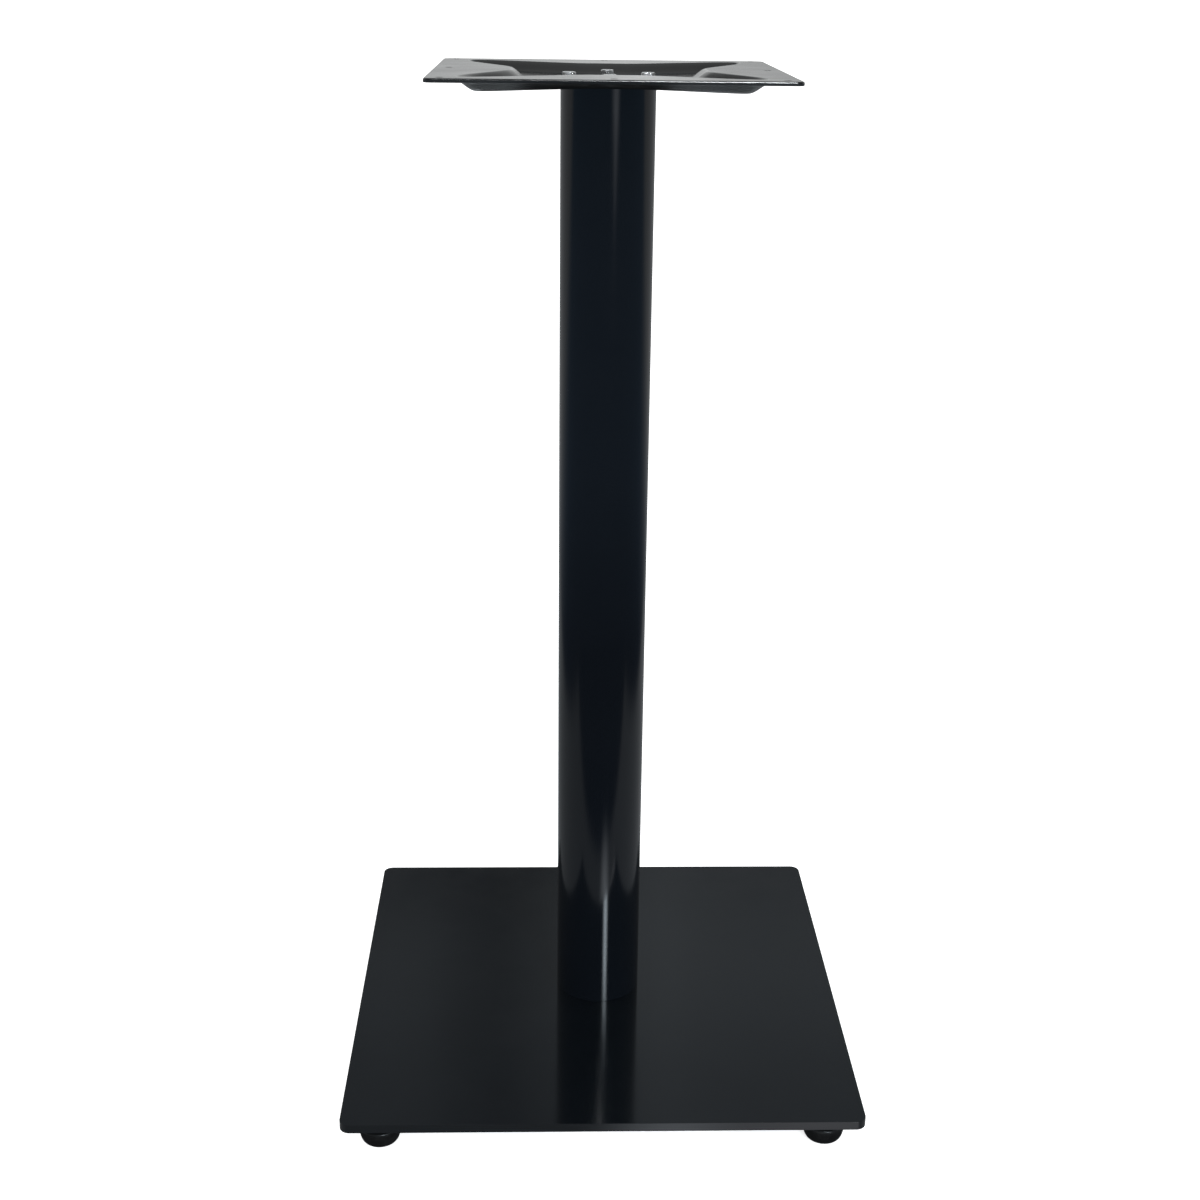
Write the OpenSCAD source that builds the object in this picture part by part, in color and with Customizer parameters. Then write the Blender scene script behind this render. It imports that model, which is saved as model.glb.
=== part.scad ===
// Bar-height pedestal base for a table: a square steel base plate on four
// screw-in levelling glides, one round column, and a pressed square mounting
// plate with a star-shaped recess, bolted to the column head.
// Units are millimetres. The floor is z = 0, the column axis is x = y = 0,
// the front is the -Y side.

/* [Base plate] */
// Side length of the square base plate
base_w = 550; // [450:5:650]
// Thickness of the base plate
base_t = 10; // [9:0.5:14]
// Radius of the base plate's corners in plan
base_corner_r = 11; // [6:1:30]
// Rounding of the base plate's upper and lower edges
base_edge_r = 0.9; // [0.4:0.1:2]

/* [Column] */
// Height from the floor to the top of the mounting plate
total_h = 1080; // [700:5:1150]
// Outside diameter of the column tube
column_d = 95; // [92:1:130]
// Wall thickness of the column tube
column_wall = 2; // [1.5:0.25:3]
// Thickness of the discs welded into the two ends of the column
disc_t = 10; // [8:1:16]

/* [Mounting plate] */
// Side length of the square mounting plate
top_w = 343; // [330:1:380]
// Thickness of the pressed sheet
top_t = 4; // [3:0.5:5]
// Radius of the mounting plate's corners in plan
top_corner_r = 8; // [4:1:14]
// Depth of the pressed recess, from the rim to the recess floor
dish_depth = 10; // [6:0.5:12]
// Width of the sloping wall around the recess floor
dish_run = 19; // [14:1:22]
// Distance between the table-top screw holes, centre to centre
screw_grid = 314; // [300:1:316]
// Diameter of the table-top screw holes
screw_hole_d = 7; // [5:0.5:9]

/* [Bolts] */
// Diameter of the circle that carries the bolts of the column head
head_pcd = 78; // [60:1:78]
// Thread diameter of the column head bolts
head_thread_d = 8; // [6:1:8]
// Width across the flats of the column head bolts
head_af = 12; // [10:0.5:13]
// Height of the column head bolts' heads
head_h = 5.5; // [4:0.1:6]
// Diameter of the circle that carries the bolts of the column foot
foot_pcd = 56; // [50:1:60]
// Thread diameter of the column foot bolts
foot_thread_d = 10; // [8:1:10]
// Width across the flats of the column foot bolts
foot_af = 16; // [13:0.5:17]

/* [Levelling glides] */
// Height of the base plate's underside above the floor, glides at mid travel
foot_h = 35; // [33:1:45]
// Distance from the glide axis to the edge of the base plate
glide_inset = 39; // [30:1:60]
// Largest diameter of the glide pad
pad_d = 44; // [36:1:50]
// Height of the glide pad
pad_h = 20; // [18:1:20]
// Thread diameter of the glide stud
stud_d = 10; // [8:1:10]
// Depth of the blind threaded hole in the base plate
stud_hole_depth = 7.5; // [6:0.5:7.5]

/* [Hidden] */
$fn = 96;

eps = 0.01;
plate_z = foot_h;                       // underside of the base plate
deck_z = foot_h + base_t;               // upper face of the base plate
rim_z = total_h;                        // upper face of the mounting plate
floor_z = total_h - dish_depth;         // upper face of the recess floor
head_z = floor_z - top_t;               // top end of the column
tube_id = column_d - 2 * column_wall;
glide_p = base_w / 2 - glide_inset;     // glide position in x and y
head_p = head_pcd / 2;
foot_p = foot_pcd / 2 / sqrt(2);
stud_clear = 0.05;                      // radial running clearance of the stud
nut_t = 7;                              // height of the weld nut under the plate
nut_af = 17;
collar_t = 4;                           // hex collar of the stud, sunk 2 mm in the pad
collar_z = pad_h - 2;
stud_tip = plate_z + 2;                 // upper end of the stud
stud_root = 8;                          // lower end of the stud, inside the pad
washer_t = 1.6;
foot_washer_t = 2;
foot_head_h = 6.4;

// ---- plan curves -------------------------------------------------------

// corner cutting on a closed polygon
function cut_corners(p) = [for (i = [0:len(p) - 1])
    let (a = p[i], b = p[(i + 1) % len(p)]) each [a * 0.75 + b * 0.25, a * 0.25 + b * 0.75]];

// an eighth of the star, from the land tip on +X to the arm on the diagonal;
// then mirrored across the diagonal and turned four times
function eighth_to_star(e) = let (
        m = [for (i = [len(e) - 1:-1:0]) [e[i][1], e[i][0]]],
        q = concat(e, m))
    [for (k = [0:3]) for (v = q) [v[0] * cos(90 * k) - v[1] * sin(90 * k),
                                  v[0] * sin(90 * k) + v[1] * cos(90 * k)]];

// star outline where the wall leaves the rim, and where it meets the floor
arm = top_w / 2 - 25.5;                 // reach of the arms at rim level
tip = top_w / 2 - 73.5;                 // distance of the land tips from the axis
ring_top = cut_corners(cut_corners(eighth_to_star([
    [tip, 12], [tip, 27], [tip + 11, 50], [tip + 36, 98], [arm - 2, arm - 23], [arm, arm - 7]])));
ring_low = cut_corners(cut_corners(eighth_to_star([
    [tip - dish_run, 12], [tip - dish_run, 26], [tip - dish_run + 12, 51],
    [tip - dish_run + 35, 93], [arm - dish_run - 3, arm - dish_run - 16],
    [arm - dish_run, arm - dish_run - 5]])));

// soft S-curve of the wall: share of the depth at a share s of the run
function wall_share(s) = s * s * (3 - 2 * s);

// rounded square as a list of points, with the edge drawn in by d
function square_ring(w, r, d, n = 6) = let (c = w / 2 - r)
    [for (k = [0:3]) for (i = [0:n]) let (a = 90 * k + 90 * i / n,
        sx = (k == 0 || k == 3) ? 1 : -1, sy = (k < 2) ? 1 : -1)
        [sx * c + (r - d) * cos(a), sy * c + (r - d) * sin(a)]];

// ---- general solids ----------------------------------------------------

// closed solid through a stack of rings with equal point counts, lowest first,
// each end closed by a fan around the axis
module ring_stack(rings) {
    n = len(rings[0]);
    m = len(rings);
    pts = concat([for (r = rings) for (v = r) v],
        [[0, 0, rings[0][0][2]], [0, 0, rings[m - 1][0][2]]]);
    polyhedron(points = pts, faces = concat(
        [for (i = [0:n - 1]) [i, (i + 1) % n, m * n]],
        [for (i = [0:n - 1]) [(m - 1) * n + (i + 1) % n, (m - 1) * n + i, m * n + 1]],
        [for (j = [0:m - 2]) for (i = [0:n - 1])
            [j * n + i, (j + 1) * n + i, (j + 1) * n + (i + 1) % n]],
        [for (j = [0:m - 2]) for (i = [0:n - 1])
            [j * n + i, (j + 1) * n + (i + 1) % n, j * n + (i + 1) % n]]));
}

// square slab with rounded corners and rounded upper and lower edges
module rounded_slab(w, t, r, e) {
    steps = [[0, 1], [0.134, 0.5], [0.5, 0.134], [1, 0]];
    lower = [for (s = steps) [for (p = square_ring(w, r, s[1] * e)) [p[0], p[1], s[0] * e]]];
    upper = [for (i = [3:-1:0]) let (s = steps[i])
        [for (p = square_ring(w, r, s[1] * e)) [p[0], p[1], t - s[0] * e]]];
    ring_stack(concat(lower, upper));
}

// body bounded by the recess surface moved down by drop, closed at z = lid
module recess_body(drop, lid) {
    shares = [1, 0.86, 0.68, 0.32, 0.14, 0];
    ring_stack(concat(
        [for (s = shares) [for (i = [0:len(ring_top) - 1])
            let (p = ring_top[i] + (ring_low[i] - ring_top[i]) * s)
            [p[0], p[1], -drop - dish_depth * wall_share(s)]]],
        [[for (p = ring_top) [p[0], p[1], lid]]]));
}

// hexagon prism with its outer corners chamfered at the upper end
module hex_head(af, h) {
    r = af / 2 / cos(30);
    intersection() {
        cylinder(r = r, h = h, $fn = 6);
        rotate_extrude() polygon([[0, 0], [r + 1, 0], [r + 1, h - 0.6 - (r + 1 - af / 2) * 0.5],
            [af / 2 - 0.35, h], [0, h]]);
    }
}

module ring_washer(od, id, t) {
    difference() {
        rotate_extrude() polygon([[id / 2 - 0.5, 0], [od / 2 - 0.2, 0], [od / 2, 0.2],
            [od / 2, t - 0.25], [od / 2 - 0.25, t], [id / 2 - 0.5, t]]);
        translate([0, 0, -1]) cylinder(d = id, h = t + 2);
    }
}

// hex bolt with its head on z = 0 and its shank pointing down, length l
module hex_bolt(d, af, h, l) {
    hex_head(af, h);
    rotate_extrude() polygon([[0, 0.4], [d / 2, 0.4], [d / 2, -l + 0.8], [d / 2 - 0.8, -l], [0, -l]]);
}

// ---- the pieces --------------------------------------------------------

module base_plate() color([0.09, 0.095, 0.1]) difference() {
    translate([0, 0, plate_z]) rounded_slab(base_w, base_t, base_corner_r, base_edge_r);
    for (x = [-1, 1], y = [-1, 1]) {
        translate([x * foot_p, y * foot_p, plate_z - 1]) cylinder(d = foot_thread_d + 1, h = base_t + 2);
        translate([x * glide_p, y * glide_p, plate_z - 1])
            cylinder(d = stud_d + 2 * stud_clear, h = stud_hole_depth + 1);
    }
}

module column_tube() color([0.04, 0.045, 0.055]) translate([0, 0, deck_z])
    rotate_extrude() translate([tube_id / 2, 0]) square([column_wall, head_z - deck_z]);

module column_foot_disc() color([0.2, 0.2, 0.21]) difference() {
    translate([0, 0, deck_z]) cylinder(d = tube_id, h = disc_t);
    for (x = [-1, 1], y = [-1, 1]) translate([x * foot_p, y * foot_p, deck_z - 1])
        cylinder(d = foot_thread_d, h = disc_t + 2);
}

module column_head_disc() color([0.2, 0.2, 0.21]) difference() {
    translate([0, 0, head_z - disc_t]) cylinder(d = tube_id, h = disc_t);
    for (a = [0:90:270]) rotate(a) translate([head_p, 0, head_z - disc_t - 1])
        cylinder(d = head_thread_d, h = disc_t + 2);
}

module mounting_plate() color([0.1, 0.105, 0.11]) translate([0, 0, rim_z]) difference() {
    union() {
        translate([0, 0, -top_t]) rounded_slab(top_w, top_t, top_corner_r, 0.8);
        recess_body(top_t, -top_t + 1);
    }
    recess_body(0, 1);
    for (a = [0:90:270]) rotate(a) {
        translate([screw_grid / 2, screw_grid / 2, -top_t - 1]) cylinder(d = screw_hole_d, h = top_t + 2);
        translate([screw_grid / 2, 0, -top_t - 1]) cylinder(d = screw_hole_d, h = top_t + 2);
        translate([head_p, 0, -dish_depth - top_t - 1]) cylinder(d = head_thread_d + 1, h = top_t + 2);
    }
}

module head_bolt(x, y, turn) color([0.78, 0.79, 0.8])
    translate([x * head_p, y * head_p, floor_z + washer_t]) rotate(turn)
        hex_bolt(head_thread_d - 0.2, head_af, head_h, top_t + disc_t + washer_t - 0.6);

module head_washer(x, y) color([0.72, 0.73, 0.74])
    translate([x * head_p, y * head_p, floor_z]) ring_washer(head_thread_d * 2, head_thread_d + 0.4, washer_t);

module foot_bolt(x, y, turn) color([0.75, 0.76, 0.77])
    translate([x * foot_p, y * foot_p, plate_z - foot_washer_t]) rotate(turn) mirror([0, 0, 1])
        hex_bolt(foot_thread_d - 0.2, foot_af, foot_head_h, base_t + disc_t + foot_washer_t - 1);

module foot_washer(x, y) color([0.7, 0.71, 0.72])
    translate([x * foot_p, y * foot_p, plate_z]) mirror([0, 0, 1])
        ring_washer(foot_thread_d * 2, foot_thread_d + 0.5, foot_washer_t);

module weld_nut(x, y) color([0.3, 0.31, 0.32])
    translate([x * glide_p, y * glide_p, plate_z]) mirror([0, 0, 1]) difference() {
        hex_head(nut_af, nut_t);
        translate([0, 0, -1]) cylinder(d = stud_d + 2 * stud_clear, h = nut_t + 2);
    }

module glide_stud(x, y) color([0.7, 0.71, 0.72]) translate([x * glide_p, y * glide_p, 0]) {
    translate([0, 0, collar_z]) cylinder(d = 17 / cos(30), h = collar_t, $fn = 6);
    rotate_extrude() polygon([[0, stud_root], [stud_d / 2, stud_root],
        [stud_d / 2, stud_tip - 1], [stud_d / 2 - 1, stud_tip], [0, stud_tip]]);
}

module glide_pad(x, y) color([0.05, 0.05, 0.055]) translate([x * glide_p, y * glide_p, 0]) difference() {
    r = pad_d / 2;
    rotate_extrude() polygon([[0, 0.8], [r * 0.5, 0.8], [r * 0.54, 0], [r * 0.68, 0],
        [r * 0.76, 0.7], [r * 0.84, 2.2], [r * 0.91, 4.6], [r * 0.96, 8], [r * 0.99, 12],
        [r, pad_h - 4], [r, pad_h - 2], [r - 0.6, pad_h - 0.6], [r - 2, pad_h], [0, pad_h]]);
    translate([0, 0, stud_root]) cylinder(d = stud_d, h = pad_h);
    translate([0, 0, collar_z]) cylinder(d = 17.1 / cos(30), h = 5, $fn = 6);
}

base_plate();
column_tube();
column_foot_disc();
column_head_disc();
mounting_plate();
head_bolt(0, -1, 11);  // head_bolt_front
head_bolt(0, 1, 18);  // head_bolt_rear
head_bolt(-1, 0, -2);  // head_bolt_left
head_bolt(1, 0, 1);  // head_bolt_right
head_washer(0, -1);  // head_washer_front
head_washer(0, 1);  // head_washer_rear
head_washer(-1, 0);  // head_washer_left
head_washer(1, 0);  // head_washer_right
foot_bolt(-1, -1, 8);  // foot_bolt_front_left
foot_bolt(1, -1, 21);  // foot_bolt_front_right
foot_bolt(-1, 1, 40);  // foot_bolt_rear_left
foot_bolt(1, 1, -5);  // foot_bolt_rear_right
foot_washer(-1, -1);  // foot_washer_front_left
foot_washer(1, -1);  // foot_washer_front_right
foot_washer(-1, 1);  // foot_washer_rear_left
foot_washer(1, 1);  // foot_washer_rear_right
weld_nut(-1, -1);  // weld_nut_front_left
weld_nut(1, -1);  // weld_nut_front_right
weld_nut(-1, 1);  // weld_nut_rear_left
weld_nut(1, 1);  // weld_nut_rear_right
glide_stud(-1, -1);  // glide_stud_front_left
glide_stud(1, -1);  // glide_stud_front_right
glide_stud(-1, 1);  // glide_stud_rear_left
glide_stud(1, 1);  // glide_stud_rear_right
glide_pad(-1, -1);  // glide_pad_front_left
glide_pad(1, -1);  // glide_pad_front_right
glide_pad(-1, 1);  // glide_pad_rear_left
glide_pad(1, 1);  // glide_pad_rear_right
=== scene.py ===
import math

import bmesh
import bpy
import numpy as np
from mathutils import Matrix, Vector
from mathutils.geometry import delaunay_2d_cdt


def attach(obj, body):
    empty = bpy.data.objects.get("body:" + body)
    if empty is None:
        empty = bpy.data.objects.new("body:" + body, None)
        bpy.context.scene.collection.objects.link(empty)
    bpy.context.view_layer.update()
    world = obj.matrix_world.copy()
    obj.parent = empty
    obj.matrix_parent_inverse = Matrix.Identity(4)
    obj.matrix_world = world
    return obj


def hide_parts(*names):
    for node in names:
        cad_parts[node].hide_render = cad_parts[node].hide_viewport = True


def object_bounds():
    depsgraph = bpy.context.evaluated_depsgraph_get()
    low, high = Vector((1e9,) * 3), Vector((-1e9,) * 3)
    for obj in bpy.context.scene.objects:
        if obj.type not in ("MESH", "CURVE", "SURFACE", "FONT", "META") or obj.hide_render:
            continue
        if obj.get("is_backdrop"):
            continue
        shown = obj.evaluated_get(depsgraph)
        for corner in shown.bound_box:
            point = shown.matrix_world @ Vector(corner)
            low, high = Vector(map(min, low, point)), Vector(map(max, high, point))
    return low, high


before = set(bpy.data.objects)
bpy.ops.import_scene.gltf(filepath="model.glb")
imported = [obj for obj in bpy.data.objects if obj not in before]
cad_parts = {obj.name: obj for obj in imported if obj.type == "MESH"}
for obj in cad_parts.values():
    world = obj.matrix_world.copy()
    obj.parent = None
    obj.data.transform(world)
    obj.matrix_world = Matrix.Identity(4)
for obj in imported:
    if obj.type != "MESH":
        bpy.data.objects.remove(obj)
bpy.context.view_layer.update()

MM = 0.001
TAU = 2 * math.pi

# ---------------------------------------------------------------- camera
scene = bpy.context.scene
scene.view_settings.view_transform = "Standard"
scene.view_settings.look = "None"
scene.view_settings.exposure = 0.0
scene.view_settings.gamma = 1.0

cam_data = bpy.data.cameras.new("camera")
cam = bpy.data.objects.new("camera", cam_data)
scene.collection.objects.link(cam)
scene.camera = cam
cam_data.sensor_width = 36.0
cam_data.lens = 52.66
cam_data.clip_start, cam_data.clip_end = 0.05, 200.0
pitch, yaw, roll = math.radians(20.016), math.radians(1.769), math.radians(0.691)
forward = Vector((math.sin(yaw) * math.cos(pitch), math.cos(yaw) * math.cos(pitch), -math.sin(pitch)))
right0 = Vector((math.cos(yaw), -math.sin(yaw), 0.0))
up0 = right0.cross(forward)
right = right0 * math.cos(roll) + up0 * math.sin(roll)
up = -right0 * math.sin(roll) + up0 * math.cos(roll)
turn = Matrix((right, up, -forward)).transposed()
cam.matrix_world = Matrix.Translation((-0.05781, -1.80091, 1.18003)) @ turn.to_4x4()


# ---------------------------------------------------------------- node helpers
def nodes_of(tree):
    tree.nodes.clear()
    return tree.nodes, tree.links


class Graph:
    """Short calls for the nodes that the materials, the floor and the world share."""

    def __init__(self, tree):
        self.nodes, self.links = nodes_of(tree)

    def add(self, kind, **values):
        n = self.nodes.new(kind)
        for k, v in values.items():
            setattr(n, k, v)
        return n

    def put(self, socket, value):
        if hasattr(value, "is_linked") or hasattr(value, "links"):
            self.links.new(value, socket)
        else:
            socket.default_value = value

    def math(self, op, a, b=0.0, c=0.0, clamp=False):
        n = self.add("ShaderNodeMath", operation=op, use_clamp=clamp)
        self.put(n.inputs[0], a)
        self.put(n.inputs[1], b)
        self.put(n.inputs[2], c)
        return n.outputs[0]

    def span(self, value, a, b, c=0.0, d=1.0, kind="SMOOTHSTEP"):
        n = self.add("ShaderNodeMapRange", interpolation_type=kind)
        self.put(n.inputs["Value"], value)
        for name, v in (("From Min", a), ("From Max", b), ("To Min", c), ("To Max", d)):
            self.put(n.inputs[name], v)
        return n.outputs["Result"]

    def mix(self, share, a, b):
        n = self.add("ShaderNodeMix", data_type="RGBA")
        self.put(n.inputs["Factor"], share)
        self.put(n.inputs["A"], a if hasattr(a, "links") else (*a, 1.0))
        self.put(n.inputs["B"], b if hasattr(b, "links") else (*b, 1.0))
        return n.outputs["Result"]

    def mix_value(self, share, a, b):
        n = self.add("ShaderNodeMix", data_type="FLOAT")
        self.put(n.inputs["Factor"], share)
        self.put(n.inputs["A"], a)
        self.put(n.inputs["B"], b)
        return n.outputs["Result"]

    def noise(self, where, scale, detail=3.0, rough=0.55, kind="FBM"):
        n = self.add("ShaderNodeTexNoise")
        self.put(n.inputs["Vector"], where)
        n.inputs["Scale"].default_value = scale
        n.inputs["Detail"].default_value = detail
        n.inputs["Roughness"].default_value = rough
        return n.outputs["Fac"]

    def ramp(self, value, stops, kind="EASE"):
        n = self.add("ShaderNodeValToRGB")
        self.put(n.inputs["Fac"], value)
        r = n.color_ramp
        r.interpolation = kind
        while len(r.elements) > 1:
            r.elements.remove(r.elements[0])
        r.elements[0].position = stops[0][0]
        r.elements[0].color = (*stops[0][1], 1.0)
        for at, colour in stops[1:]:
            r.elements.new(at).color = (*colour, 1.0)
        return n.outputs["Color"]


def coat(name, dark, light, rough_low, rough_high, peel, peel_scale, speck=0.0, ior=1.5, clear=0.0, haze=0.0):
    """Black paint or powder coat: slow colour drift, patchy gloss, a fine orange-peel skin
    and a few pale dust grains."""
    m = bpy.data.materials.new(name)
    m.use_nodes = True
    g = Graph(m.node_tree)
    out = g.add("ShaderNodeOutputMaterial")
    b = g.add("ShaderNodeBsdfPrincipled")
    g.links.new(b.outputs[0], out.inputs[0])
    at = g.add("ShaderNodeTexCoord").outputs["Object"]
    slow = g.noise(at, 9.0, 4.0, 0.6)
    fine = g.noise(at, 900.0, 2.0, 0.5)
    share = g.math("ADD", g.math("MULTIPLY", slow, 0.75), g.math("MULTIPLY", fine, 0.25))
    colour = g.mix(g.span(share, 0.35, 0.65), dark, light)
    rough = g.span(g.noise(at, 14.0, 5.0, 0.62), 0.3, 0.7, rough_low, rough_high)
    if speck:
        cells = g.add("ShaderNodeTexVoronoi", feature="F1")
        g.put(cells.inputs["Vector"], at)
        cells.inputs["Scale"].default_value = 26.0
        pick = g.add("ShaderNodeSeparateColor")
        g.links.new(cells.outputs["Color"], pick.inputs[0])
        chosen = g.math("GREATER_THAN", pick.outputs[0], 0.93)
        size = g.math("MULTIPLY_ADD", pick.outputs[1], 0.009, 0.004)
        grain = g.math("MULTIPLY", g.math("LESS_THAN", cells.outputs["Distance"], size), chosen)
        dust = g.math("MULTIPLY", grain, speck)
        colour = g.mix(dust, colour, (0.30, 0.31, 0.32))
        rough = g.math("ADD", rough, g.math("MULTIPLY", dust, 0.4), clamp=True)
    g.put(b.inputs["Base Color"], colour)
    g.put(b.inputs["Roughness"], rough)
    b.inputs["IOR"].default_value = ior
    if clear:
        b.inputs["Coat Weight"].default_value = clear
        b.inputs["Coat Roughness"].default_value = haze
        b.inputs["Coat IOR"].default_value = 1.5
    skin = g.math("ADD", g.noise(at, peel_scale, 2.0, 0.5), g.math("MULTIPLY", g.noise(at, peel_scale * 3.1, 1.0, 0.5), 0.3))
    bump = g.add("ShaderNodeBump")
    bump.inputs["Strength"].default_value = 1.0
    bump.inputs["Distance"].default_value = peel
    g.put(bump.inputs["Height"], skin)
    g.links.new(bump.outputs[0], b.inputs["Normal"])
    return m


def plated(name, bright, dull, rough_low, rough_high, scratch=0.00002):
    """Zinc-plated steel: mottled grey crystal patches, turned marks and handling scratches."""
    m = bpy.data.materials.new(name)
    m.use_nodes = True
    g = Graph(m.node_tree)
    out = g.add("ShaderNodeOutputMaterial")
    b = g.add("ShaderNodeBsdfPrincipled")
    g.links.new(b.outputs[0], out.inputs[0])
    at = g.add("ShaderNodeTexCoord").outputs["Object"]
    patch = g.noise(at, 420.0, 3.0, 0.6)
    g.put(b.inputs["Base Color"], g.mix(g.span(patch, 0.35, 0.68), dull, bright))
    b.inputs["Metallic"].default_value = 1.0
    g.put(b.inputs["Roughness"], g.span(g.noise(at, 260.0, 4.0, 0.6), 0.3, 0.7, rough_low, rough_high))
    stretch = g.add("ShaderNodeMapping")
    stretch.inputs["Scale"].default_value = (900.0, 160.0, 2400.0)
    g.put(stretch.inputs["Vector"], at)
    bump = g.add("ShaderNodeBump")
    bump.inputs["Strength"].default_value = 0.6
    bump.inputs["Distance"].default_value = scratch
    g.put(bump.inputs["Height"], g.noise(stretch.outputs[0], 1.0, 3.0, 0.6))
    g.links.new(bump.outputs[0], b.inputs["Normal"])
    return m


def raw_steel(name):
    """Hot-rolled steel of the welded discs: blue-grey mill scale with rusty bloom."""
    m = bpy.data.materials.new(name)
    m.use_nodes = True
    g = Graph(m.node_tree)
    out = g.add("ShaderNodeOutputMaterial")
    b = g.add("ShaderNodeBsdfPrincipled")
    g.links.new(b.outputs[0], out.inputs[0])
    at = g.add("ShaderNodeTexCoord").outputs["Object"]
    scale = g.mix(g.span(g.noise(at, 60.0, 5.0, 0.6), 0.35, 0.65), (0.10, 0.105, 0.115), (0.20, 0.205, 0.21))
    bloom = g.span(g.noise(at, 130.0, 5.0, 0.65), 0.56, 0.72, 0.0, 0.5)
    g.put(b.inputs["Base Color"], g.mix(bloom, scale, (0.16, 0.075, 0.035)))
    b.inputs["Metallic"].default_value = 0.6
    g.put(b.inputs["Roughness"], g.span(g.noise(at, 90.0, 4.0, 0.6), 0.3, 0.7, 0.38, 0.6))
    bump = g.add("ShaderNodeBump")
    bump.inputs["Distance"].default_value = 0.00006
    g.put(bump.inputs["Height"], g.noise(at, 700.0, 4.0, 0.6))
    g.links.new(bump.outputs[0], b.inputs["Normal"])
    return m


def moulded(name):
    """Black moulded plastic: fine spark-eroded grain, slightly greyer where it has rubbed."""
    m = bpy.data.materials.new(name)
    m.use_nodes = True
    g = Graph(m.node_tree)
    out = g.add("ShaderNodeOutputMaterial")
    b = g.add("ShaderNodeBsdfPrincipled")
    g.links.new(b.outputs[0], out.inputs[0])
    at = g.add("ShaderNodeTexCoord").outputs["Object"]
    g.put(b.inputs["Base Color"], g.mix(g.span(g.noise(at, 120.0, 4.0, 0.6), 0.35, 0.68), (0.0042, 0.0045, 0.005), (0.008, 0.0084, 0.009)))
    g.put(b.inputs["Roughness"], g.span(g.noise(at, 180.0, 4.0, 0.6), 0.3, 0.7, 0.3, 0.44))
    bump = g.add("ShaderNodeBump")
    bump.inputs["Distance"].default_value = 0.00003
    g.put(bump.inputs["Height"], g.noise(at, 2600.0, 3.0, 0.6))
    g.links.new(bump.outputs[0], b.inputs["Normal"])
    return m


BASE = coat("base_plate_black", (0.0023, 0.0034, 0.0048), (0.0031, 0.0044, 0.0060), 0.085, 0.115, 0.000004, 420.0, speck=1.0)
COLUMN = coat("column_black", (0.0036, 0.0052, 0.0078), (0.0044, 0.0062, 0.0090), 0.11, 0.14, 0.000005, 260.0, speck=0.5)
TOP = coat("mounting_plate_black", (0.0085, 0.0092, 0.0095), (0.0125, 0.0133, 0.0136), 0.15, 0.21, 0.0000012, 500.0, speck=0.6)
NUT = coat("weld_nut_black", (0.006, 0.0064, 0.0066), (0.011, 0.0115, 0.0118), 0.3, 0.42, 0.00003, 900.0)
ZINC = plated("zinc_plated", (0.80, 0.81, 0.82), (0.60, 0.61, 0.62), 0.2, 0.34)
STUD = plated("zinc_stud", (0.74, 0.75, 0.76), (0.52, 0.53, 0.54), 0.28, 0.42)
STEEL = raw_steel("mill_steel")
PLASTIC = moulded("moulded_black")


# ---------------------------------------------------------------- mesh helpers
class Skin:
    """Collects rings, bridges and flat faces of one closed surface, in metres."""

    def __init__(self):
        self.points, self.faces = [], []

    def ring(self, points):
        a = len(self.points)
        self.points += [tuple(p) for p in points]
        return list(range(a, a + len(points)))

    def bridge(self, a, b):
        n = len(a)
        self.faces += [(a[i], a[(i + 1) % n], b[(i + 1) % n], b[i]) for i in range(n)]

    def loft(self, rings):
        ids = [self.ring(r) for r in rings]
        for a, b in zip(ids, ids[1:]):
            self.bridge(a, b)
        return ids

    def cap(self, points):
        """A fan that closes a ring around its own middle."""
        ids = self.ring(points)
        middle = np.mean(np.array(points), axis=0)
        c = len(self.points)
        self.points.append(tuple(middle))
        n = len(ids)
        self.faces += [(ids[i], ids[(i + 1) % n], c) for i in range(n)]

    def flat(self, outer, holes, z):
        """The flat region at height z inside one outline and outside the holes."""
        loops = [outer] + holes
        pts, edges = [], []
        for loop in loops:
            a, n = len(pts), len(loop)
            pts += [Vector((p[0], p[1])) for p in loop]
            edges += [(a + i, a + (i + 1) % n) for i in range(n)]
        v, _, f, _, _, _ = delaunay_2d_cdt(pts, edges, [], 0, 1e-8)
        xy = np.array([(p.x, p.y) for p in v])
        tri = np.array([t for t in f if len(t) == 3])
        mid = xy[tri].mean(axis=1)
        keep = inside(mid, outer)
        for h in holes:
            keep &= ~inside(mid, h)
        a = len(self.points)
        self.points += [(x, y, z) for x, y in xy]
        self.faces += [tuple(int(a + i) for i in t) for t in tri[keep]]


def inside(points, loop):
    """Which points lie inside a closed outline."""
    x, y = points[:, 0], points[:, 1]
    loop = np.array([(p[0], p[1]) for p in loop])
    hit = np.zeros(len(points), bool)
    for (x1, y1), (x2, y2) in zip(loop, np.roll(loop, -1, axis=0)):
        if y1 == y2:
            continue
        cross = (y1 > y) != (y2 > y)
        hit ^= cross & (x < (x2 - x1) * (y - y1) / (y2 - y1) + x1)
    return hit


def circle(cx, cy, r, n=48, z=None, start=0.0):
    pts = [(cx + r * math.cos(start + TAU * i / n), cy + r * math.sin(start + TAU * i / n)) for i in range(n)]
    return pts if z is None else [(x, y, z) for x, y in pts]


def at_height(points, z):
    return [(p[0], p[1], z) for p in points]


def square_outline(w, r, inset, n=14):
    """Rounded square of width w, moved inward by inset."""
    c, out = w / 2 - r, []
    for k in range(4):
        sx, sy = (1 if k in (0, 3) else -1), (1 if k < 2 else -1)
        for i in range(n + 1):
            a = TAU / 4 * (k + i / n)
            out.append((sx * c + (r - inset) * math.cos(a), sy * c + (r - inset) * math.sin(a)))
    return out


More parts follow.
